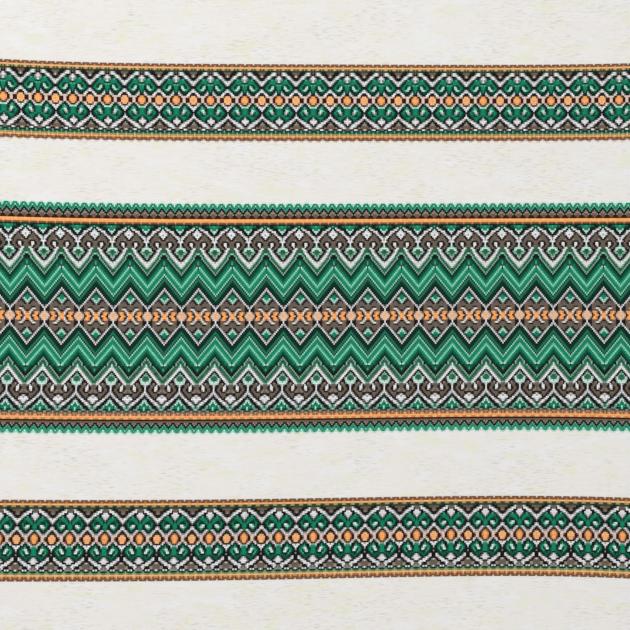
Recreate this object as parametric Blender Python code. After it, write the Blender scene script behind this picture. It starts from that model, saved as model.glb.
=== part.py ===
"""A flat cut length of white linen tablecloth with three ornamented bands across it.

The cloth is one closed sheet, 0.6 m square, lying flat on its underside at z = 0.
The bands stand up from the ground weave because their coloured weft lies in it as a
second layer. Each band has a toothed edge, and near each edge a thicker line of
orange weft runs across as a low rib. The weft bows a little towards the left edge.

Metres, +Z up. The origin is at the middle of the underside.
"""

import bmesh
import bpy

# The cut length
CLOTH_WIDTH = 0.600        # along the weft, X
CLOTH_LENGTH = 0.600       # along the warp, Y

# Thicknesses, measured up from the underside
GROUND_TOP = 0.0010        # plain linen ground
BAND_TOP = 0.0017          # ground with the pattern weft over it
RIB_TOP = 0.0022           # crown of the orange line

# The pattern's grid: a repeat is 24 steps wide, and an edge tooth is 6 of them
STEP = 0.00125
TOOTH_STEPS = 6
TOOTH_PITCH = TOOTH_STEPS * STEP
EDGE_SLOPE = 0.0006        # run of the short slope from the ground up to a band

# The lower, main and upper bands, from the near edge of the cloth to the far one.
# near and far are the band's edges at the middle of the cloth, tooth is how far its
# teeth reach out, and rib_in and rib_width place the orange line from each edge.
BANDS = (
    {"near": -0.2320, "far": -0.1602, "tooth": 0.0012, "rib_in": 0.0042, "rib_width": 0.0032},
    {"near": -0.1028, "far": 0.0981, "tooth": 0.0032, "rib_in": 0.0134, "rib_width": 0.0044},
    {"near": 0.1529, "far": 0.2221, "tooth": 0.0012, "rib_in": 0.0042, "rib_width": 0.0032},
)

# The bow of the weft. At the left edge the far rows rise and the near rows fall.
LEFT_RISE = 0.0039         # rise of the upper band at the left edge
RISE_WIDTH = 0.200         # how far in from the left edge the rise reaches
RISE_FOOT = -0.145         # y at which the rise has died out
RISE_HEAD = 0.222          # y at which it is full
SWAY = 0.0024              # fall of the lower band on the left, rise on the right
SWAY_HEAD = 0.098          # y at which the sway has died out
SWAY_FOOT = -0.232         # y at which it is full
SWAY_LEFT = -0.185         # x at which the sway is full downwards
SWAY_RIGHT = 0.140         # x at which it is full upwards


def clear_scene():
    """Remove every object, so that the file starts empty."""
    for item in list(bpy.data.objects):
        bpy.data.objects.remove(item, do_unlink=True)


def ramp(value, start, end):
    """Rise smoothly from 0 at start to 1 at end, and stay level outside them."""
    share = min(max((value - start) / (end - start), 0.0), 1.0)
    return share * share * (3.0 - 2.0 * share)


def weft_bow(x, y):
    """How far a weft row that lies at y in mid-cloth is shifted along Y at x."""
    from_left = min((x + CLOTH_WIDTH / 2) / RISE_WIDTH, 1.0)
    rise = LEFT_RISE * (1.0 - from_left) ** 2 * ramp(y, RISE_FOOT, RISE_HEAD)
    across = 2.0 * ramp(x, SWAY_LEFT, SWAY_RIGHT) - 1.0
    sway = SWAY * across * ramp(y, SWAY_HEAD, SWAY_FOOT)
    return rise + sway


def edge_rows(band, at, inward):
    """Rows of one band edge, from the ground inwards.

    Each row is (y, height, tooth depth, outward direction). Inward is +1 where the
    band lies towards +Y of this edge, and -1 where it lies towards -Y.
    """
    rib_middle = at + inward * band["rib_in"]
    rib_half = inward * band["rib_width"] / 2
    rows = [
        (at, GROUND_TOP, band["tooth"], inward),
        (at + inward * EDGE_SLOPE, BAND_TOP, band["tooth"], inward),
    ]
    if band["rib_in"] > 2.0 * band["rib_width"]:
        rows.append((rib_middle - rib_half, BAND_TOP, 0.0, inward))
    rows.append((rib_middle, RIB_TOP, 0.0, inward))
    rows.append((rib_middle + rib_half, BAND_TOP, 0.0, inward))
    return rows


def cloth_rows():
    """All the rows of the sheet, from its near edge to its far edge."""
    rows = [(-CLOTH_LENGTH / 2, GROUND_TOP, 0.0, 1.0)]
    for band in BANDS:
        rows += edge_rows(band, band["near"], 1.0)
        rows += reversed(edge_rows(band, band["far"], -1.0))
    rows.append((CLOTH_LENGTH / 2, GROUND_TOP, 0.0, 1.0))
    return rows


def place_row_point(row, column):
    """Where the sheet's upper face has its point on one row and one column.

    Teeth point outwards at even columns and their notches lie at odd ones.
    """
    y, height, tooth, inward = row
    x = -CLOTH_WIDTH / 2 + column * TOOTH_PITCH / 2
    notch = tooth * inward if column % 2 else 0.0
    on_cut_edge = abs(y) > CLOTH_LENGTH / 2 - EDGE_SLOPE
    bow = 0.0 if on_cut_edge else weft_bow(x, y)
    return x, y + notch + bow, height


def make_upper_face(bm):
    """A grid with one line of points for each row and two for each tooth."""
    rows = cloth_rows()
    columns = round(CLOTH_WIDTH / TOOTH_PITCH) * 2
    bmesh.ops.create_grid(bm, x_segments=columns, y_segments=len(rows) - 1, size=1.0)
    for vert in bm.verts:
        column = round((vert.co.x + 1.0) / 2.0 * columns)
        row = round((vert.co.y + 1.0) / 2.0 * (len(rows) - 1))
        vert.co = place_row_point(rows[row], column)


def is_corner(vert):
    """True at the four corners of the cut length."""
    at_side = abs(abs(vert.co.x) - CLOTH_WIDTH / 2) < EDGE_SLOPE
    at_end = abs(abs(vert.co.y) - CLOTH_LENGTH / 2) < EDGE_SLOPE
    return at_side and at_end


def close_sheet(bm):
    """Carry the rim straight down to z = 0 and close the underside.

    The upright edges between corners are then dissolved, so that each cut edge is one
    flat face and the underside is one rectangle.
    """
    rim = [edge for edge in bm.edges if edge.is_boundary]
    walls = bmesh.ops.extrude_edge_only(bm, edges=rim)["geom"]
    for vert in (item for item in walls if isinstance(item, bmesh.types.BMVert)):
        vert.co.z = 0.0
    lower_rim = [edge for edge in bm.edges if edge.is_boundary]
    bmesh.ops.contextual_create(bm, geom=lower_rim)
    uprights = [
        edge for edge in bm.edges
        if edge.verts[0].co.z * edge.verts[1].co.z == 0.0
        and max(edge.verts[0].co.z, edge.verts[1].co.z) > 0.0
        and not is_corner(edge.verts[0])
    ]
    bmesh.ops.dissolve_edges(bm, edges=uprights, use_verts=True)
    bmesh.ops.recalc_face_normals(bm, faces=bm.faces)


def linen_material():
    """Off-white linen with the dry look of plain cloth."""
    material = bpy.data.materials.new("linen")
    material.use_nodes = True
    shader = material.node_tree.nodes["Principled BSDF"]
    shader.inputs["Base Color"].default_value = (0.80, 0.77, 0.72, 1.0)
    shader.inputs["Roughness"].default_value = 0.9
    shader.inputs["Metallic"].default_value = 0.0
    return material


def make_tablecloth(collection):
    """The whole cloth as one closed sheet."""
    bm = bmesh.new()
    make_upper_face(bm)
    close_sheet(bm)
    mesh = bpy.data.meshes.new("tablecloth")
    bm.to_mesh(mesh)
    bm.free()
    mesh.materials.append(linen_material())
    cloth = bpy.data.objects.new("tablecloth", mesh)
    collection.objects.link(cloth)
    return cloth


def main():
    clear_scene()
    collection = bpy.data.collections.new("linen_tablecloth")
    bpy.context.scene.collection.children.link(collection)
    make_tablecloth(collection)


main()
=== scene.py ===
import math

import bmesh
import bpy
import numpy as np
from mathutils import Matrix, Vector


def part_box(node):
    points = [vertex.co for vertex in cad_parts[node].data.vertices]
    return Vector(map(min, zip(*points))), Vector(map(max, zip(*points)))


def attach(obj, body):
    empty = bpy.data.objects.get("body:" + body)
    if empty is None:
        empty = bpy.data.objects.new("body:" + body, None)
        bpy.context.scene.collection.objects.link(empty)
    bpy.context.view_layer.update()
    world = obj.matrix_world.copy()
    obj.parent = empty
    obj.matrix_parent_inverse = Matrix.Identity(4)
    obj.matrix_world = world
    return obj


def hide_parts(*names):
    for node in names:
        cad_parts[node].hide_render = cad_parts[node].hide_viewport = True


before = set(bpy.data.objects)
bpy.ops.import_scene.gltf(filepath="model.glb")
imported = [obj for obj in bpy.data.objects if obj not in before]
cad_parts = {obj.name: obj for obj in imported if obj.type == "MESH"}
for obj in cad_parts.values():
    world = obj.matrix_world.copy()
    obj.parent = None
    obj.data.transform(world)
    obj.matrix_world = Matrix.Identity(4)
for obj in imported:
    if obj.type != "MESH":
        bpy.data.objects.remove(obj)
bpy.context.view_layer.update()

# A cut length of pale linen tablecloth with three ornamented bands woven across it.
# The ground is one thin sheet. Each band is the pattern weft lying over that ground,
# one low mound for each stitch of a chart. Metres, +X along the weft, +Y along
# the warp, +Z up.

clothLow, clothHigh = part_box("tablecloth")
halfWidth = (clothHigh.x - clothLow.x) / 2
halfLength = (clothHigh.y - clothLow.y) / 2

# How the weft bows, in metres: at the left edge the far rows rise, and the near rows sway.
# There is one line for each power of y, 0 to 2, and in it one term for each power of x,
# 0 to 4. Both x and y are shares of the half cloth.
weftBowTerms = (
    (0.0, 0.0021, 0.0013, -0.0028, -0.0001),
    (-0.0003, -0.0047, -0.0006, 0.0028, 0.0045),
    (-0.0002, 0.0004, -0.0009, -0.0007, 0.0008),
)


def weftBow(x, y):
    # shift of a row along Y: the sum of every term times its powers of x and y
    across = x / halfWidth
    along = y / halfLength
    rise = np.zeros(np.broadcast(x, y).shape)
    for yPower, line in enumerate(weftBowTerms):
        for xPower, term in enumerate(line):
            rise = rise + term * across ** xPower * along ** yPower
    return rise


# The cloth lies flat, but never as flat as a board. Each wave is (half waves from the
# middle to the edge along X, the same along Y, phase, height).
lieOfCloth = {
    "waves": ((2.3, 3.1, 0.4, 0.00005), (-4.7, 5.9, 2.1, 0.00004), (9.1, 7.3, 4.4, 0.00002)),
}


def lie(x, y):
    # height of the cloth's slow unevenness: a sum of slanted sine waves
    height = np.zeros(np.broadcast(x, y).shape)
    for wavesX, wavesY, phase, size in lieOfCloth["waves"]:
        turn = math.pi * (wavesX * x / halfWidth + wavesY * y / halfLength) + phase
        height = height + size * np.sin(turn)
    return height


# Yarn colours as sRGB, one letter each in the charts
yarns = {
    "K": (16, 18, 18),       # black
    "F": (2, 48, 35),        # very dark green
    "v": (60, 68, 46),       # dark olive
    "D": (40, 100, 72),      # heathered green
    "f": (8, 80, 58),        # dark green
    "u": (36, 112, 85),      # sea green
    "T": (14, 92, 68),       # deep green
    "G": (18, 132, 98),      # bright green
    "g": (88, 126, 82),      # leaf green
    "e": (84, 166, 136),     # light green
    "m": (150, 220, 192),    # mint
    "M": (198, 234, 220),    # pale mint
    "d": (160, 218, 192),    # dull mint
    "t": (126, 156, 142),    # grey green
    "h": (142, 178, 158),    # pale grey green
    "w": (136, 134, 132),    # grey
    "W": (228, 228, 229),    # white
    "P": (222, 197, 183),    # pinkish white
    "C": (234, 186, 150),    # cream
    "A": (244, 184, 130),    # apricot
    "O": (254, 174, 104),    # orange
    "Y": (220, 182, 122),    # yellow orange
    "y": (148, 164, 118),    # pale yellow green
    "q": (158, 146, 94),     # olive tan
    "s": (204, 138, 90),     # light sienna
    "S": (128, 84, 52),      # sienna
    "b": (120, 86, 62),      # warm brown
    "B": (108, 96, 85),      # grey brown
    "L": (152, 136, 122),    # light brown
    "N": (34, 26, 20),       # dark brown
    "R": (60, 20, 4),        # maroon
}


def toLinear(color):
    # sRGB 0 to 255 as linear 0 to 1, by the standard curve
    share = np.array(color, float) / 255.0
    return np.where(share <= 0.04045, share / 12.92, ((share + 0.055) / 1.055) ** 2.4)


# Charts. Each word is one row of half a repeat, read from the far row down. Its first
# letter stands on the repeat's line of symmetry, its last one half a repeat away, and the
# row is mirrored about both. A dot is bare ground.
mainEdge = """
MM...MMM...MM GGmMmGGGmMmGG mGGMGGmGGMGGm FeGGGeFeGGGeF KFeGeFKFeGeFK wKFtFKwKFtFKw LLNKNLLLNKNLL
BBLNLBBBLNLBB bBNNNbbBNNNbb SRRRRRSRRRRRS AOOOOOAOOOOOA OOOAOOOOOAOOO SSSsSSSSSsSSS FFFvFFKFFvFFF
eGGGTDFKKFTTe GGGTFFFFKtMFF GGMKKKKwWWKKW MMKKKWWWKKKWW MKKKwWwNNwWWW KKKwWwNBNwWWw KwWWNNBBBNNWW
wWWNNBBBBBNNW wWKNBBBBBLBNN WWwNBBNNNNBBB WKNBBNNWWNNBB WKNBBNNWWNNBB MtKNBBNNWNBBB
"""
mainUnderScrolls = """
MMMtKBBNNWWDD DDMMKKKwWWDDD DDDhhKKwWhDDD DDhhKKwWWDDhm DhDKKwWWDDhFK hhKKwWWhDhFKK hKKwWWhDDhFFF
KKwWWhDDhFFTT wWWWhDDhFFTTe WWWhDDhFFTTTe WWhDDhFFTGTTD MtDDhFFTTGGMF DDDhFFfTGGmeF
"""
mainHeart = """
GdFuuFFFKWwFF dFuuFFFKWwKTG FuuFFFKWwKTGG uuFFFKWwKtMGG uFFFKWwNNNtMe FFFKWwNBBNKtM KFKWwBBBBBNNw
KwWNBBBBBBBBB wWNNBBBNNNBBB WKKNBBLWWLNBB WNNNBbbNLWLNN PPLNsOOsNLWsS ACPLROOsRNPOO OACPNROOCRSOO
"""
mainLower = """
MDDhKFFTTTeMt MtDDDhKFFTTTF WWtDDDhKFFTTG tWWwDDDhKKFTe FKWWwDDDhKKFT tFKWWwDDDhKKF ehKKWWwDDDhKK
DDtKKWWwDDDhF DDDMwKWWwDDDh DDtMwKKWWhDDD tMMMKKNKWWhDD MMMwKBLNNWWtt WwKNBBBNWNwBB WKNNBBNWWNNBB
WKNBBNNWWNNBB WKNBBNNWwNBLB WwNNBBNNNBLBB wWwNNBBBBNNNN KwWwNNBBBNNwW KKwWwNNBNwWWw tNKKWWKKKWWWW
WmKKKWWwKKwWW TMwKKKwWWwKwW TGMtKKKwWWwFF GGGTmTKKKwMtT MGGTetFKFFttT mTFFFttwKFFtm vvvLLvvvBLBvv
LLbLBBLLbLBBL sSsOsSsSsOsSs OOOAOOOOOAOOO AOsssOAOsssOA RRRRRRRRRRRRR BBBBBBBBBBBBB BLNKNLBLNKNLB
LNFtFNLNFtFNL KFeGeFKFeGeFK TeGGGeFeGGGeF eGeMeGeGeMeGm GemMmeGemMmeG MM...MMM...MM
"""
# Zigzag stripes between heart and scrolls: the letter depends on row less column alone
zigzag = {
    "letters": "KwWKFFFuuFdGGGemGGTfFFhDD",
    "first": 2,                # row less column of the first letter
    "rows": range(26, 13, -1),
    "mirrored": 27,            # rows below the middle that repeat the ones above it
}


def zigzagWord(row):
    # one chart row of the zigzag: its letters run down the stripe list as the column grows
    places = [row - column - zigzag["first"] for column in range(weave["halfRepeat"] + 1)]
    return "".join(zigzag["letters"][place] for place in places)


def mainChart():
    # far edge, scrolls, zigzag and heart, the last two mirrored, then the near rows' own words
    upper = mainEdge.split() + mainUnderScrolls.split()
    upper += [zigzagWord(row) for row in zigzag["rows"]] + mainHeart.split()
    return upper + upper[-2:-2 - zigzag["mirrored"]:-1] + mainLower.split()


upperTop = """
PbbbbbPbbbbbP bSSsSSbSSsSSb YAAOAAYAAOAAY qvqYqvqvqYqvq vvvvNFFFFFvvv BBBNNKKwWWwNB wBNKKKwWWWwKN
PBKKwWWwKKKwW KKKwWWtFFFwWW KKwWtFFeGTtwW tWWwFFGGGGTtW WWwKFTGGGGTFF WwKFTGFFTTGeG KKFTGFFwMFFGG
KFFGGFTMmFFGG WwKFGeMmFKFTG
"""
upperBottom = """
WWtKFTTFFKtFG KNWWKFFFKwWFF NNNWWKNKwWLNN AARLPPPPPNRsO OAARRNPPNRsOO OOARRRPPRROOO OAARRNPPRRsOO
AARPPwFFPLRsO NNwWwFFFKWwNR wWWFFTeTFKMdd WWKFFGeeTFTGG WKKFGeMMKFTGG KKFGGFtWwFTGG wKFTGTFttFTGG
WKKFTTFFTGGTT WWKKFTGGGTFFt KtWwKFTGTFFwW KKwWWwFTFKWWW LNKKWWWwKKwWW LLNNNwWWWwNNW BBBNNNwWWWwNN
BBBBLNNNwWWwB PLNNNwWWKNNBB FFFtTFFFFtTFF eTTgTTtTTgTTe YqqyqqYqqyqqY AsOAOsAsOAOsA SSSsSSSSSsSSS
LbbbbLPLbbbbL ..PPP...PPP..
"""
lowerTop = """
PbbbbbPbbbbbP bSSsSSbSSsSSb AAOOOAAAOOOAA vvqyqvvvqyqvv vvvvvvFFFFvvv BBBBNNKKwWwBB BBNNKKwWWWNBB
LBNKwWWWKNKWW NNKwWWwKKKWWW KKwWtFFeFFwWW wWWwFTGGGTFwW WWwKFTTGGGTFw WwKFTTFFTGGFT wKFTGFFFFTGTG
KKKFGFtWMKFGG WwKFTeMMtKFGG
"""
lowerBottom = """
WWKKFTeGKKFTG KwWwKFTFKwWtf KKwWwKNKwWwNN SNNwWwwwWwRSs AARRPPPPLRSOO OAARNLPPNRsOO OAARRNPPNRsOO
OAsRNLPPNRSOO AARNPPKwPLRsO RNNwWKFKwWLRS wWWKFFGFKKMtt WWKFTTeTKKtGG WKFTGeMMKFFGG wKFGGFtMwFFGG
KKFTeFFMWFTGG wKKFTeFKKFTGG NNKFFTTFTTTFF KKWwKFTTTFFwW KKWWwKFTFFwWW KKKwWWwKKwWWW PLKKwWWWKKKWW
BBBKKNWWWWwKN BBBLLNKKwWWBB BBBLLNKKKWwBL WwFFFWwWKKtww FFTtTFFFTtTFF ggqyqgggqyqgg YYAAAYYYAAAYY
ssSAsSsSsAsSs bSSsSSbSSsSSb PbbbbbPbbbbbP
"""

# What the bands share
weave = {
    "halfRepeat": 12,          # steps between lines of symmetry; a word has one letter more
    "columns": (-60, 520),     # more steps than fit on the cloth, which are then cut to it
    "rowPitch": 0.001511,      # height of a chart row
    "floatTop": 0.00168,       # height of a stitch's crest
    "ribTop": 0.00216,         # the same on the raised orange lines
    "unevenness": 0.00002,     # how much the crests differ by chance
    "endDip": 0.00007,         # a float is lower where its colour ends
    "sameDip": 0.00005,        # dip between two stitches of one float
    "otherDip": 0.00024,       # dip between two colours
    "rowDip": 0.00032,         # valley between two rows
    "cornerDip": 0.00042,      # pit between four stitches
    "bindDip": 0.00008,        # where a warp end holds a float down
    "bindEvery": 8,            # steps from one such place to the next
    "bindShift": 3,            # steps they move to the side from row to row
    "sunk": 0.00086,           # the band's rim, under the ground's face
    "inset": 0.0003,           # the rim stays this far inside the cut edges
    "spare": 0.0070,           # columns are laid this far past the rim, for the lean
    "leanRow": 50.0,           # rows that count as one in the lean
    "leanX": 0.2,              # metres that count as one in it
    "edgeStretch": 0.0012,     # how much farther out the outermost columns stand
    "edgePower": 5,            # how suddenly that begins
    "rowTone": 0.035,          # how much the rows differ in tone by chance
    "stitchTone": 0.055,       # how much the stitches do
    "heatherTone": 0.22,       # how much more the heathered yarn does
    "bindShade": 0.9,           # painted shade: a stitch held down is darker, for the shade in its dip
    "valleyShade": 0.80,       # and so are the valleys between rows: painted shade on the face corners along them
}

# One dictionary for each band. topRow is the number of its far row, and centre is the y of
# row 0. firstLine is the x of a line of symmetry near the left edge, repeat the width of
# the repeat there, and each next repeat is narrower by twice tighten. lean is how many
# steps the motifs stand to the side of their lines, first in the middle of the cloth and
# then for each unit of x: a constant, a share of the row and one of its square. beat is
# how far rows lie from an even spacing, as (row, shift) pairs. ribRows are the first and
# last row of each raised line, and cuts the rows under which a new piece begins.
upperBand = {
    "name": "upper_band", "seed": 11, "chart": upperTop.split() + upperBottom.split(), "topRow": 21,
    "centre": 0.1887, "firstLine": -0.2591, "repeat": 0.03041, "tighten": 0.0000210,
    "lean": ((0.369, -0.634, 2.374), (-0.105, 0.861, -1.740)),
    "beat": ((-15, 0.00003), (3, 0.00009), (12, -0.00016), (20, -0.00009)),
    "ribRows": ((20, 18), (-20, -21)), "cuts": (),
}
lowerBand = {
    "name": "lower_band", "seed": 13, "chart": lowerTop.split() + lowerBottom.split(), "topRow": 21,
    "centre": -0.1942, "firstLine": -0.2628, "repeat": 0.03094, "tighten": 0.0000287,
    "lean": ((0.263, 1.334, 0.141), (-0.155, -1.122, -1.014)),
    "beat": ((-15, 0.00023), (-5, 0.0), (5, -0.00021), (14, -0.00038), (20, 0.00055)),
    "ribRows": ((20, 18), (-22, -23)), "cuts": (),
}
mainBand = {
    "name": "main_band", "seed": 12, "chart": mainChart(), "topRow": 66,
    "centre": -0.0010, "firstLine": -0.2695, "repeat": 0.03032, "tighten": 0.0000225,
    "lean": ((0.445, 0.130, -1.065), (-0.648, -0.603, 0.852)),
    "beat": ((-60, -0.0001), (-47, 0.0), (-31, -0.0003), (-15, -0.0003), (0, 0.0), (15, 0.0),
             (31, 0.00045), (47, 0.00015), (60, 0.0)),
    "ribRows": ((57, 55), (-57, -59)), "cuts": (22, -22),
}


def makeMesh(name, points, quads):
    # one object from an array of points and an array of quads
    mesh = bpy.data.meshes.new(name)
    mesh.vertices.add(len(points))
    mesh.vertices.foreach_set("co", np.ascontiguousarray(points, np.float32).ravel())
    mesh.loops.add(quads.size)
    mesh.loops.foreach_set("vertex_index", np.ascontiguousarray(quads, np.int32).ravel())
    mesh.polygons.add(len(quads))
    mesh.polygons.foreach_set("loop_start", np.arange(0, quads.size, 4, dtype=np.int32))
    mesh.update(calc_edges=True)
    mesh.validate()
    mesh.shade_smooth()
    piece = bpy.data.objects.new(name, mesh)
    bpy.context.scene.collection.objects.link(piece)
    return piece


def stitchLetters(band):
    # the chart spread over the cloth's width: (letters, row numbers, column numbers)
    words = np.array([list(word) for word in band["chart"]])[::-1]
    rows = band["topRow"] - len(words) + 1 + np.arange(len(words))
    columns = np.arange(*weave["columns"])
    reach = halfWidth - weave["inset"] + weave["spare"]
    columns = columns[np.abs(straightX(band, columns)) < reach]
    period = 2 * weave["halfRepeat"]
    folded = np.abs((columns + weave["halfRepeat"]) % period - weave["halfRepeat"])
    return words[:, folded], rows, columns


def straightX(band, column):
    # x of a chart column before it leans: first line + repeat n - tighten n squared, where
    # n counts the repeats from that line
    repeats = column / (2.0 * weave["halfRepeat"])
    return band["firstLine"] + band["repeat"] * repeats - band["tighten"] * repeats ** 2


def columnX(band, row, column):
    # x of each stitch: its motif leans by (a + b r + c r squared) + x (d + e r + f r squared)
    # steps, and the outermost stitches stand farther out by a high power of x
    row = row / weave["leanRow"]
    side = straightX(band, column) / weave["leanX"]
    middle, outer = ((first + second * row + third * row ** 2) for first, second, third in band["lean"])
    x = straightX(band, column + middle + side * outer)
    return x + weave["edgeStretch"] * (x / halfWidth) ** weave["edgePower"]


def stitchHeights(band, letters, rows, columns, dice):
    # heights of the half-stitch grid: crests at the stitches' middles, the mean of two crests
    # less a dip between them, a pit where four meet, and the rim's height round bare ground
    crest = np.full(letters.shape, weave["floatTop"])
    for high, low in band["ribRows"]:
        onRib = (rows <= high) & (rows >= low)
        crest[onRib] = weave["ribTop"]
    crest = crest + dice.normal(0.0, weave["unevenness"], letters.shape)
    endsHere = np.zeros(letters.shape, bool)
    differs = letters[:, 1:] != letters[:, :-1]
    endsHere[:, 1:] |= differs
    endsHere[:, :-1] |= differs
    crest -= weave["endDip"] * endsHere
    binding = (columns[None, :] + weave["bindShift"] * rows[:, None]) % weave["bindEvery"] == 0
    crest -= weave["bindDip"] * binding

    tall, wide = letters.shape
    height = np.full((2 * tall + 1, 2 * wide + 1), weave["sunk"])
    height[1::2, 1::2] = crest
    dip = np.where(differs, weave["otherDip"], weave["sameDip"])
    height[1::2, 2:-1:2] = (crest[:, 1:] + crest[:, :-1]) / 2 - dip
    valley = (crest[1:] + crest[:-1]) / 2 - weave["rowDip"]
    height[2:-1:2, 1::2] = valley
    height[2:-1:2, 2:-1:2] = (valley[:, 1:] + valley[:, :-1]) / 2 - weave["cornerDip"] + weave["rowDip"]

    absent = np.pad(letters == ".", 1, constant_values=True)    # true outside the chart too
    nearAbsent = np.zeros((tall + 1, wide + 1), bool)
    for down in (0, 1):
        for across in (0, 1):
            nearAbsent |= absent[down:down + tall + 1, across:across + wide + 1]
    height[::2, ::2][nearAbsent] = weave["sunk"]
    sideAbsent = absent[1:-1, :-1] | absent[1:-1, 1:]
    height[1::2, ::2][sideAbsent] = weave["sunk"]
    rowAbsent = absent[:-1, 1:-1] | absent[1:, 1:-1]
    height[::2, 1::2][rowAbsent] = weave["sunk"]
    return height, binding


def stitchColors(letters, rows, binding, dice):
    # yarn colour of each stitch, with the tone of its row and its own, and painted shade on the
    # stitches held down
    names = sorted(yarns)
    table = np.array([toLinear(yarns[name]) for name in names])
    place = np.searchsorted(names, np.where(letters == ".", "K", letters))
    color = table[place]
    tone = 1.0 + dice.normal(0.0, weave["rowTone"], (len(rows), 1))
    tone = tone + dice.normal(0.0, weave["stitchTone"], letters.shape)
    tone = tone + np.where(letters == "D", dice.normal(0.0, weave["heatherTone"], letters.shape), 0.0)
    # painted shade: stitches held down by a warp end are darkened
    tone = tone * np.where(binding, weave["bindShade"], 1.0)
    return np.clip(color * tone[:, :, None], 0.0, 1.0)


def makeBand(band):
    # the whole band as one grid of half stitches, cut into its pieces along rows: x from the
    # column and its lean, y from the row, its beat and the bow, z from the stitch and the lie
    dice = np.random.default_rng(band["seed"])
    letters, rows, columns = stitchLetters(band)
    tall, wide = letters.shape
    height, binding = stitchHeights(band, letters, rows, columns, dice)
    color = stitchColors(letters, rows, binding, dice)
    acrossSteps = columns[0] - 0.5 + np.arange(height.shape[1]) / 2
    alongSteps = rows[0] - 0.5 + np.arange(height.shape[0]) / 2
    reach = halfWidth - weave["inset"]
    x = columnX(band, alongSteps[:, None], acrossSteps[None, :])
    beatRows, beatShifts = zip(*band["beat"])
    rowY = band["centre"] + weave["rowPitch"] * alongSteps + np.interp(alongSteps, beatRows, beatShifts)
    y = np.broadcast_to(rowY[:, None], x.shape)
    inside = np.abs(x) < reach
    x = np.clip(x, -reach, reach)
    height = np.where(inside, height, weave["sunk"])
    points = np.stack([x, y + weftBow(x, y), height + lie(x, y)], axis=-1).reshape(-1, 3)

    number = np.arange(height.size).reshape(height.shape)
    quads = np.stack([number[:-1, :-1], number[:-1, 1:], number[1:, 1:], number[1:, :-1]], axis=-1)
    present = np.repeat(np.repeat(letters != ".", 2, axis=0), 2, axis=1)
    present &= inside.ravel()[quads].any(axis=-1)
    faceRow = np.repeat(rows, 2)[:, None]
    faceColor = np.repeat(np.repeat(color, 2, axis=0), 2, axis=1)[:, :, None, :]
    # painted shade: the face corners on the valley lines between rows are darkened by valleyShade
    valleyLine = np.zeros(number.shape, bool)
    valleyLine[::2] = True
    shade = np.where(valleyLine.ravel()[quads], weave["valleyShade"], 1.0)[..., None]
    cornerColorAndShade = faceColor * shade
    bakePlace = bakeMap(tall, wide)

    pieces = []
    limits = [band["topRow"] + 1, *band["cuts"], rows[0]]
    for high, low in zip(limits, limits[1:]):
        chosen = present & (faceRow < high) & (faceRow >= low)
        used = quads[chosen]
        kept, renumbered = np.unique(used, return_inverse=True)
        name = band["name"] if len(limits) == 2 else f"{band['name']}_{len(pieces) + 1}"
        piece = makeMesh(name, points[kept], renumbered.reshape(-1, 4))
        paintCorners(piece, cornerColorAndShade[chosen])
        placeForBaking(piece, bakePlace[chosen])
        pieces.append(piece)
    return pieces


def paintCorners(piece, cornerColorAndShade):
    # the yarn colour, with its painted shade, as an attribute on the face corners
    layer = piece.data.color_attributes.new("yarnColorAndShade", "FLOAT_COLOR", "CORNER")
    whole = np.ones((cornerColorAndShade.shape[0] * 4, 4), np.float32)
    whole[:, :3] = cornerColorAndShade.reshape(-1, 3)
    layer.data.foreach_set("color", whole.ravel())


# The long strip is laid out for baking as stacked lengths, so that it fills the square.
# margin is left bare at the ends of a length, and gap beside it.
bakeLayout = {"lengths": 3, "margin": 0.004, "gap": 0.008}


def bakeMap(tall, wide):
    # corner places of every half stitch: which length it lies in, and where in that length
    lengths, margin = bakeLayout["lengths"], bakeLayout["margin"]
    column = np.arange(2 * wide)[None, :]
    row = np.arange(2 * tall)[:, None]
    each = math.ceil(2 * wide / lengths)
    length = column // each
    left = (column - length * each) / each
    corners = []
    for across, up in ((0, 0), (1, 0), (1, 1), (0, 1)):
        u = margin + (1 - 2 * margin) * (left + across / each)
        corners.append(np.stack(np.broadcast_arrays(u, row + up, length), axis=-1))
    return np.stack(corners, axis=2)


def placeForBaking(piece, corners):
    # turn (along, row, length) into one square: the rows of each length share its height
    gap = bakeLayout["gap"]
    u, row, length = corners[..., 0], corners[..., 1], corners[..., 2]
    up = (row - row.min()) / (row.max() - row.min())
    v = (length + gap + (1 - 2 * gap) * up) / bakeLayout["lengths"]
    layer = piece.data.uv_layers.new(name="OFBake")
    layer.uv.foreach_set("vector", np.stack([u, v], axis=-1).astype(np.float32).ravel())


# The ground sheet
ground = {
    "top": 0.00100,            # height of its upper face
    "across": 200,             # points across its upper face
    "along": 190,              # sections along the cloth
    "under": 24,               # points across its underside
    "ragged": 0.00022,         # unevenness of the cut edges
    "sharpAngle": 50,          # degrees past which an edge shows sharp
    "seed": 5,
}


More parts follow.
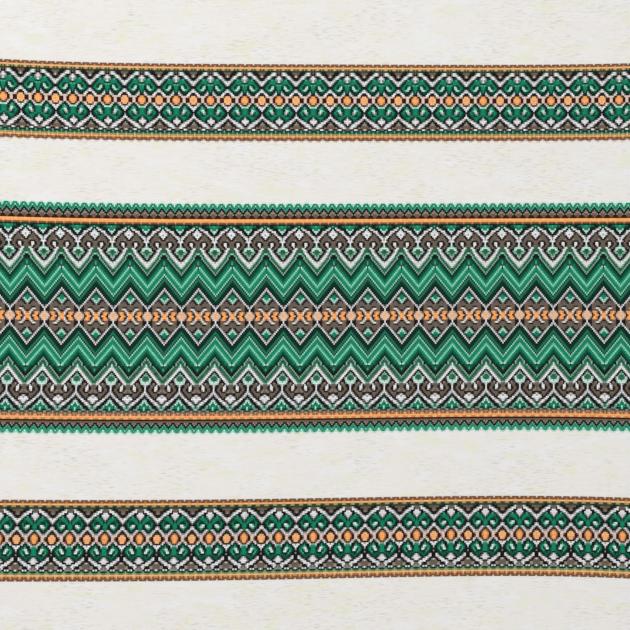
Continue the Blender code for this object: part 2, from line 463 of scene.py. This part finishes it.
def makeGround():
    # a closed profile carried along Y: a flat underside, then an upper face at the ground's
    # top plus the lie; chance trims the cut edges, and each end is one flat face
    dice = np.random.default_rng(ground["seed"])
    under = np.linspace(-1.0, 1.0, ground["under"])
    over = np.linspace(1.0, -1.0, ground["across"])
    profileX = np.concatenate([under, over])
    isTop = np.concatenate([np.zeros(ground["under"], bool), np.ones(ground["across"], bool)])
    y = np.linspace(-halfLength, halfLength, ground["along"])[:, None]
    trim = dice.uniform(0.0, ground["ragged"], (ground["along"], 2))
    reach = halfWidth - np.where(profileX < 0.0, trim[:, :1], trim[:, 1:])
    x = profileX * reach
    endTrim = dice.uniform(0.0, ground["ragged"], profileX.shape)
    atEnd = np.zeros((ground["along"], 1))
    atEnd[0] = 1.0
    atEnd[-1] = -1.0
    y = y + atEnd * endTrim
    z = np.where(isTop, ground["top"] + lie(x, y), 0.0)
    points = np.stack([x, y, z], axis=-1)
    sections, around = points.shape[:2]
    number = np.arange(sections * around).reshape(sections, around)
    nextRound = np.roll(number, -1, axis=1)
    quads = np.stack([number[:-1], nextRound[:-1], nextRound[1:], number[1:]], axis=-1).reshape(-1, 4)
    piece = makeMesh("linen_ground", points.reshape(-1, 3), quads[:, ::-1])
    closeEnds(piece, number)
    return piece


def closeEnds(piece, number):
    # one flat face on each end of the sheet
    bm = bmesh.new()
    bm.from_mesh(piece.data)
    bm.verts.ensure_lookup_table()
    bm.faces.new([bm.verts[int(place)] for place in number[0]])
    bm.faces.new([bm.verts[int(place)] for place in number[-1][::-1]])
    bmesh.ops.recalc_face_normals(bm, faces=bm.faces)
    bm.to_mesh(piece.data)
    bm.free()
    piece.data.set_sharp_from_angle(angle=math.radians(ground["sharpAngle"]))


# Shader building
class Wire:
    # a socket that takes part in sums, so that shader maths reads as maths
    def __init__(self, recipe, socket):
        self.recipe = recipe
        self.socket = socket

    def maths(self, operation, first, second):
        return self.recipe.add("Math", {"operation": operation}, {0: first, 1: second})

    def __add__(self, other):
        return self.maths("ADD", self, other)

    def __radd__(self, other):
        return self.maths("ADD", other, self)

    def __sub__(self, other):
        return self.maths("SUBTRACT", self, other)

    def __rsub__(self, other):
        return self.maths("SUBTRACT", other, self)

    def __mul__(self, other):
        return self.maths("MULTIPLY", self, other)

    def __rmul__(self, other):
        return self.maths("MULTIPLY", other, self)


class Recipe:
    # one material's node tree
    def __init__(self, name):
        self.material = bpy.data.materials.new(name)
        self.material.use_nodes = True
        self.tree = self.material.node_tree
        self.shader = self.tree.nodes["Principled BSDF"]

    def feed(self, socket, value):
        # a number or colour is set on the socket, a wire is linked to it
        if isinstance(value, Wire):
            self.tree.links.new(value.socket, socket)
        else:
            socket.default_value = value

    def add(self, kind, settings=None, sockets=None, out=0):
        # any node: its settings first, then the values or links of its sockets
        node = self.tree.nodes.new("ShaderNode" + kind)
        for key, value in (settings or {}).items():
            if key == "stops":
                self.setStops(node.color_ramp, value)
            else:
                setattr(node, key, value)
        for key, value in (sockets or {}).items():
            self.feed(node.inputs[key], value)
        return Wire(self, node.outputs[out])

    def setStops(self, ramp, stops):
        # two (place, grey) pairs, one for each end of the ramp
        for element, (place, grey) in zip(ramp.elements, stops):
            element.position = place
            element.color = (grey, grey, grey, 1.0)

    def finish(self, sockets):
        # the shader's own sockets, last of all
        for key, value in sockets.items():
            self.feed(self.shader.inputs[key], value)
        return self.material

    def streaks(self, grain, detail=2.0, lift=0.0):
        # noise with so many grains to a metre along X, Y and Z, moved by lift from others like it
        place = self.add("TexCoord", out="Object")
        placing = {"Vector": place, "Scale": grain, "Location": (lift, lift, lift)}
        spread = self.add("Mapping", {}, placing)
        return self.add("TexNoise", {}, {"Vector": spread, "Scale": 1.0, "Detail": detail}, out="Fac")

    def ramp(self, value, stops):
        # a value turned to greys by the ramp's stops
        return self.add("ValToRGB", {"stops": stops}, {"Fac": value})

    def blend(self, share, first, second, how="MIX"):
        # two colours mixed by a share; inputs 6 and 7 and output 2 are the ones for colours
        settings = {"data_type": "RGBA", "blend_type": how}
        return self.add("Mix", settings, {0: share, 6: first, 7: second}, out=2)

    def relief(self, strength, depth, height):
        # a bump of so many metres at full strength
        sockets = {"Strength": strength, "Distance": depth, "Height": height}
        return self.add("Bump", {}, sockets, out="Normal")


# A noise is (grains to a metre along X, Y and Z), detail and lift, and stops are the
# (place, grey) pairs of its ramp.
yarnFinish = {
    "fibres": ((900.0, 7000.0, 7000.0), 3.0),
    "strands": ((160.0, 2600.0, 2600.0), 2.0, 3.7),
    "fibreShare": 0.6,
    "strandShare": 0.4,
    "toneStops": ((0.30, 0.78), (0.72, 1.16)),
    "roughness": 0.60,
    "fibreRoughness": 0.25,    # added on the lightest fibres
    "bumpStrength": 0.5,
    "fibreDepth": 0.00012,
    "sheen": 0.02,
    "sheenRoughness": 0.5,
    "specular": 0.08,
}


def yarnMaterial():
    # pattern weft: the stitch's own colour with its painted shade, and fibres running along it
    recipe = Recipe("pattern_weft_yarn")
    color = recipe.add("Attribute", {"attribute_name": "yarnColorAndShade"}, out="Color")
    fibres = recipe.streaks(*yarnFinish["fibres"])
    strands = recipe.streaks(*yarnFinish["strands"])
    mixed = fibres * yarnFinish["fibreShare"] + strands * yarnFinish["strandShare"]
    tone = recipe.ramp(mixed, yarnFinish["toneStops"])
    return recipe.finish({
        "Base Color": recipe.blend(1.0, color, tone, "MULTIPLY"),
        "Roughness": yarnFinish["roughness"] + fibres * yarnFinish["fibreRoughness"],
        "Normal": recipe.relief(yarnFinish["bumpStrength"], yarnFinish["fibreDepth"], fibres + strands),
        "Sheen Weight": yarnFinish["sheen"],
        "Sheen Roughness": yarnFinish["sheenRoughness"],
        "Specular IOR Level": yarnFinish["specular"],
    })


linenFinish = {
    # colours as sRGB
    "base": (221, 218, 214), "patchGreen": (217, 217, 198), "patchCool": (221, 221, 222),
    "fleckGrey": (188, 183, 174), "fleckGreen": (196, 195, 170), "fleckRust": (210, 182, 160),
    # the threads both ways, and the slow cloudiness of the cloth
    "weftThreads": ((60.0, 1350.0, 1350.0), 2.0),
    "warpThreads": ((1550.0, 70.0, 70.0), 2.0, 5.1),
    "cloud": ((14.0, 30.0, 30.0), 2.0, 9.3),
    "shadeShares": (0.5, 0.3, 0.2),
    "shadeStops": ((0.30, 0.955), (0.70, 1.035)),
    # patches of greener and of cooler thread
    "greenPatches": ((45.0, 95.0, 95.0), 2.0, 2.2),
    "greenStops": ((0.54, 0.0), (0.68, 0.75)),
    "coolPatches": ((50.0, 110.0, 110.0), 2.0, 6.4),
    "coolStops": ((0.54, 0.0), (0.68, 0.8)),
    # slubs along the weft, in clumps, and rare rust flecks
    "clumps": ((22.0, 40.0, 40.0), 1.0, 4.6),
    "clumpStops": ((0.40, 0.25), (0.60, 1.0)),
    "slubs": ((140.0, 900.0, 900.0), 3.0, 1.3),
    "slubStops": ((0.53, 0.0), (0.72, 0.75)),
    "rust": ((110.0, 800.0, 800.0), 1.0, 7.9),
    "rustStops": ((0.69, 0.0), (0.76, 0.4)),
    # relief and shine
    "reliefShares": (0.6, 0.4, 0.25),
    "bumpStrength": 0.55,
    "threadDepth": 0.00010,
    "roughness": 0.82,
    "threadRoughness": 0.12,   # added on the lightest weft threads
    "sheen": 0.10,
    "sheenRoughness": 0.5,
    "specular": 0.25,
}


def linenColor(name):
    # one of the linen's colours, as a socket takes it
    return (*toLinear(linenFinish[name]), 1.0)


def linenShare(recipe, noise, stops):
    # how much of a patch or fleck shows: one of the linen's noises, cut by its stops
    return recipe.ramp(recipe.streaks(*linenFinish[noise]), linenFinish[stops])


def linenMaterial():
    # ground cloth: uneven threads both ways, with short slubs lying along the weft
    recipe = Recipe("linen_ground_cloth")
    weftThreads = recipe.streaks(*linenFinish["weftThreads"])
    warpThreads = recipe.streaks(*linenFinish["warpThreads"])
    cloud = recipe.streaks(*linenFinish["cloud"])
    byWeft, byWarp, byCloud = linenFinish["shadeShares"]
    clothTone = weftThreads * byWeft + warpThreads * byWarp + cloud * byCloud
    shade = recipe.ramp(clothTone, linenFinish["shadeStops"])
    base = recipe.blend(1.0, linenColor("base"), shade, "MULTIPLY")

    greenShare = linenShare(recipe, "greenPatches", "greenStops")
    coolShare = linenShare(recipe, "coolPatches", "coolStops")
    mottled = recipe.blend(greenShare, base, linenColor("patchGreen"))
    mottled = recipe.blend(coolShare, mottled, linenColor("patchCool"))

    slubs = linenShare(recipe, "slubs", "slubStops") * linenShare(recipe, "clumps", "clumpStops")
    slubColor = recipe.blend(greenShare, linenColor("fleckGrey"), linenColor("fleckGreen"))
    flecked = recipe.blend(slubs, mottled, slubColor)
    rustShare = linenShare(recipe, "rust", "rustStops")
    painted = recipe.blend(rustShare, flecked, linenColor("fleckRust"))

    byWeft, byWarp, bySlub = linenFinish["reliefShares"]
    threads = weftThreads * byWeft + warpThreads * byWarp + slubs * bySlub
    return recipe.finish({
        "Base Color": painted,
        "Roughness": linenFinish["roughness"] + weftThreads * linenFinish["threadRoughness"],
        "Normal": recipe.relief(linenFinish["bumpStrength"], linenFinish["threadDepth"], threads),
        "Sheen Weight": linenFinish["sheen"],
        "Sheen Roughness": linenFinish["sheenRoughness"],
        "Specular IOR Level": linenFinish["specular"],
    })


studio = {
    "floorHalf": 4.0,          # half of the floor's side
    "floorDrop": 0.0004,       # the floor lies this far under the cloth
    "floorColor": (214, 213, 210),
    "floorGrain": (60.0, 60.0, 60.0),
    "floorStops": ((0.35, 0.985), (0.65, 1.0)),
    "floorRoughness": 0.9,
    "keyPower": 22.0,          # watts
    "keySize": 1.6,            # width of the round lamp
    "keyPlace": (-0.9, 1.0, 1.9),
    "skyColor": (1.0, 1.0, 1.0),
    "skyStrength": 0.84,
}


def makeStudio():
    # a pale floor just under the cloth, one large soft lamp and an even sky
    half = studio["floorHalf"]
    corners = np.array([[-half, -half], [half, -half], [half, half], [-half, half]])
    points = np.column_stack([corners, np.full(4, -studio["floorDrop"])])
    floor = makeMesh("floor", points, np.array([[0, 1, 2, 3]]))
    recipe = Recipe("floor_paint")
    tone = recipe.ramp(recipe.streaks(studio["floorGrain"]), studio["floorStops"])
    painted = recipe.blend(1.0, (*toLinear(studio["floorColor"]), 1.0), tone, "MULTIPLY")
    paint = recipe.finish({"Base Color": painted, "Roughness": studio["floorRoughness"]})
    floor.data.materials.append(paint)

    lampData = bpy.data.lights.new("key_lamp", "AREA")
    lampData.shape = "DISK"
    lampData.size = studio["keySize"]
    lampData.energy = studio["keyPower"]
    lamp = bpy.data.objects.new("key_lamp", lampData)
    lamp.location = studio["keyPlace"]
    aim = lamp.location.to_track_quat("Z", "Y")
    lamp.rotation_euler = aim.to_euler()
    bpy.context.scene.collection.objects.link(lamp)

    world = bpy.data.worlds.new("studio_sky")
    world.use_nodes = True
    sky = world.node_tree.nodes["Background"]
    sky.inputs["Color"].default_value = (*studio["skyColor"], 1.0)
    sky.inputs["Strength"].default_value = studio["skyStrength"]
    bpy.context.scene.world = world
    return floor


camera = {
    "frameWidth": 0.5544,      # width of cloth that fills the picture
    "faceHeight": 0.0015,      # height at which that width is measured
    "lens": 85.0,              # millimetres, as is the sensor
    "sensor": 36.0,
    "farLimit": 30.0,
}


def makeCamera():
    # straight down on the middle of the cloth, as far off as its frame needs
    data = bpy.data.cameras.new("camera")
    data.lens = camera["lens"]
    data.sensor_width = camera["sensor"]
    data.clip_end = camera["farLimit"]
    eye = bpy.data.objects.new("camera", data)
    distance = camera["frameWidth"] * camera["lens"] / camera["sensor"]
    eye.location = (0.0, 0.0, camera["faceHeight"] + distance)
    bpy.context.scene.collection.objects.link(eye)
    bpy.context.scene.camera = eye


makeCamera()
floor = makeStudio()
print("studio ready")

linen = makeGround()
linen.data.materials.append(linenMaterial())
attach(linen, "root")
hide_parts("tablecloth")
print("ground sheet ready")

yarn = yarnMaterial()
bandPieces = []
for band in (upperBand, mainBand, lowerBand):
    bandPieces += makeBand(band)
    print(band["name"], "ready")
for piece in bandPieces:
    piece.data.materials.append(yarn)
    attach(piece, "root")
triangles = {piece.name: len(piece.data.polygons) * 2 for piece in bandPieces + [linen]}
print("triangles", triangles, sum(triangles.values()))

scene = bpy.context.scene
scene.view_settings.view_transform = "Standard"
